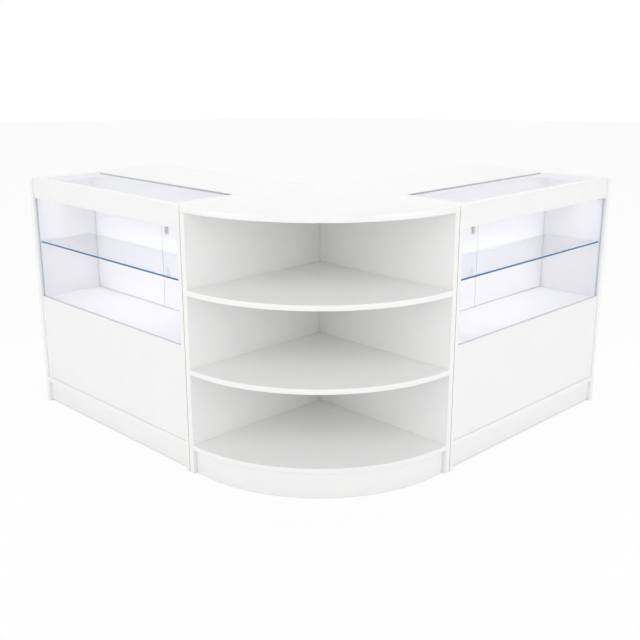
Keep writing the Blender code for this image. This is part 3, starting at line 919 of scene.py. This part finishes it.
class COUNTER_OT_light_bars(Operator):
    """Make the light bars behind the fascias: channel, diffuser and caps"""
    bl_idname = "counter.light_bars"
    bl_label = "Light Bars"

    def execute(self, context):
        wall = 0.0012
        cap = 0.0015
        lip = 0.004
        thick = Vector((0.0014, 0.0014))
        gap = 0.0003
        bulge = Vector((-1.0, -1.0)).normalized() * 0.0006
        for side in SIDES:
            node = side + "_light_bar"
            low, high = counter_box(side, "light_bar")
            channel = bmesh.new()
            add_bar(channel, [(high.y, low.z), (high.y, high.z), (low.y, high.z), (low.y, high.z - lip),
                              (low.y + wall, high.z - lip), (low.y + wall, high.z - wall),
                              (high.y - wall, high.z - wall), (high.y - wall, low.z + wall),
                              (high.y - lip, low.z + wall), (high.y - lip, low.z)],
                    low.x + cap, high.x - cap)
            soften(channel, CHANNEL_ROUND, 1)
            close_up(channel)
            lay(side, channel)
            make_piece(node + "_channel", channel, (anodised_aluminium,), BODY_OF[node], "light_bar", node)
            ends = bmesh.new()
            caps = [(high.y, low.z), (high.y, high.z), (low.y, high.z), (low.y, high.z - lip),
                    (high.y - lip, low.z)]
            add_bar(ends, caps, low.x, low.x + cap)
            add_bar(ends, caps, high.x - cap, high.x)
            close_up(ends)
            soften(ends, CAP_ROUND, 1)
            lay(side, ends)
            make_piece(node + "_caps", ends, (white_abs,), BODY_OF[node], "light_bar")
            first = Vector((high.y - lip - gap, low.z + gap))
            last = Vector((low.y + gap, high.z - lip - gap))
            strip = [first, first.lerp(last, 0.25) + bulge * 0.75, first.lerp(last, 0.5) + bulge,
                     first.lerp(last, 0.75) + bulge * 0.75, last, last + thick, first + thick]
            diffuser = bmesh.new()
            add_bar(diffuser, strip, low.x + cap + gap, high.x - cap - gap)
            close_up(diffuser)
            lay(side, diffuser)
            shade_round(diffuser)
            make_piece(node + "_diffuser", diffuser, (lens_polycarbonate,), BODY_OF[node], "light_bar")
        return {"FINISHED"}


class COUNTER_OT_stage(Operator):
    """Set the white floor, the studio light and the camera"""
    bl_idname = "counter.stage"
    bl_label = "Stage"

    def execute(self, context):
        scene = context.scene
        scene.view_settings.view_transform = "Standard"
        self.lay_floor(scene, scene.counter_stage)
        self.light_studio(scene, scene.counter_stage)
        self.set_camera(scene, scene.counter_stage)
        return {"FINISHED"}

    def lay_floor(self, scene, stage):
        """A wide round floor, just under the counter."""
        shape = bmesh.new()
        bmesh.ops.create_circle(shape, cap_ends=True, segments=64, radius=FLOOR_RADIUS,
                                matrix=Matrix.Translation((0.0, 0.0, -FLOOR_DROP)))
        mesh = bpy.data.meshes.new("studio_floor")
        shape.to_mesh(mesh)
        shape.free()
        mesh.materials.append(studio_paint(stage))
        floor = bpy.data.objects.new("studio_floor", mesh)
        scene.collection.objects.link(floor)

    def light_studio(self, scene, stage):
        """A dome that the camera sees as plain white, and four softboxes that it doesn't see."""
        world = bpy.data.worlds.new("white studio")
        scene.world = world
        world.use_nodes = True
        tree = world.node_tree
        tree.nodes.clear()
        light = add_node(tree, "ShaderNodeBackground", {"Color": WHITE, "Strength": stage.dome})
        white = add_node(tree, "ShaderNodeBackground", {"Color": WHITE, "Strength": 1.0})
        mixed = add_node(tree, "ShaderNodeMixShader", {0: seen_straight(tree), 1: light.outputs[0],
                                                       2: white.outputs[0]})
        add_node(tree, "ShaderNodeOutputWorld", {"Surface": mixed.outputs[0]})
        for name, power, place in (("overhead_softbox", stage.overhead, Vector((-0.5, 0.5, 3.4))),
                                   ("front_softbox", stage.front, Vector((3.1, -3.1, 3.1))),
                                   ("left_softbox", stage.side, Vector((-0.97, -4.55, 1.6))),
                                   ("right_softbox", stage.side, Vector((4.55, 0.97, 1.6)))):
            lamp = bpy.data.lights.new(name, "AREA")
            lamp.shape = "SQUARE"
            lamp.size = SOFTBOX_SIZE
            lamp.energy = power
            softbox = bpy.data.objects.new(name, lamp)
            softbox.location = place
            softbox.rotation_euler = (place - SOFTBOX_AIM).to_track_quat("Z", "Y").to_euler()
            softbox.visible_camera = False
            scene.collection.objects.link(softbox)

    def set_camera(self, scene, stage):
        """The camera, as the stage's settings say."""
        view = bpy.data.cameras.new("counter_camera")
        view.sensor_width = SENSOR_WIDTH
        view.lens = stage.lens
        camera = bpy.data.objects.new("counter_camera", view)
        camera.location = stage.camera_place
        camera.rotation_euler = (math.pi / 2 - stage.camera_dip, 0.0, stage.camera_turn)
        scene.collection.objects.link(camera)
        scene.camera = camera


class COUNTER_PT_finish(Panel):
    """Steps and settings of the counter's finish"""
    bl_idname = "COUNTER_PT_finish"
    bl_label = "Shop Counter"
    bl_space_type = "VIEW_3D"
    bl_region_type = "UI"
    bl_category = "Counter"

    def draw(self, context):
        for step in STEPS:
            self.layout.operator(step.bl_idname)
        for settings in (context.scene.counter_finish, context.scene.counter_stage):
            box = self.layout.box()
            for name in settings.bl_rna.properties.keys():
                if name not in {"rna_type", "name"}:
                    box.prop(settings, name)


STEPS = (COUNTER_OT_boards, COUNTER_OT_end_panels, COUNTER_OT_corner_boards, COUNTER_OT_panes,
         COUNTER_OT_hinges, COUNTER_OT_locks, COUNTER_OT_knobs, COUNTER_OT_catches, COUNTER_OT_light_bars,
         COUNTER_OT_stage)
CLASSES = (CounterFinish, CounterStage, *STEPS, COUNTER_PT_finish)


def register():
    for made in CLASSES:
        bpy.utils.register_class(made)
    bpy.types.Scene.counter_finish = PointerProperty(type=CounterFinish)
    bpy.types.Scene.counter_stage = PointerProperty(type=CounterStage)


def unregister():
    del bpy.types.Scene.counter_stage
    del bpy.types.Scene.counter_finish
    for made in reversed(CLASSES):
        bpy.utils.unregister_class(made)


def main():
    register()
    for step in STEPS:
        group, name = step.bl_idname.split(".")
        getattr(getattr(bpy.ops, group), name)()


if __name__ == "__main__":
    main()
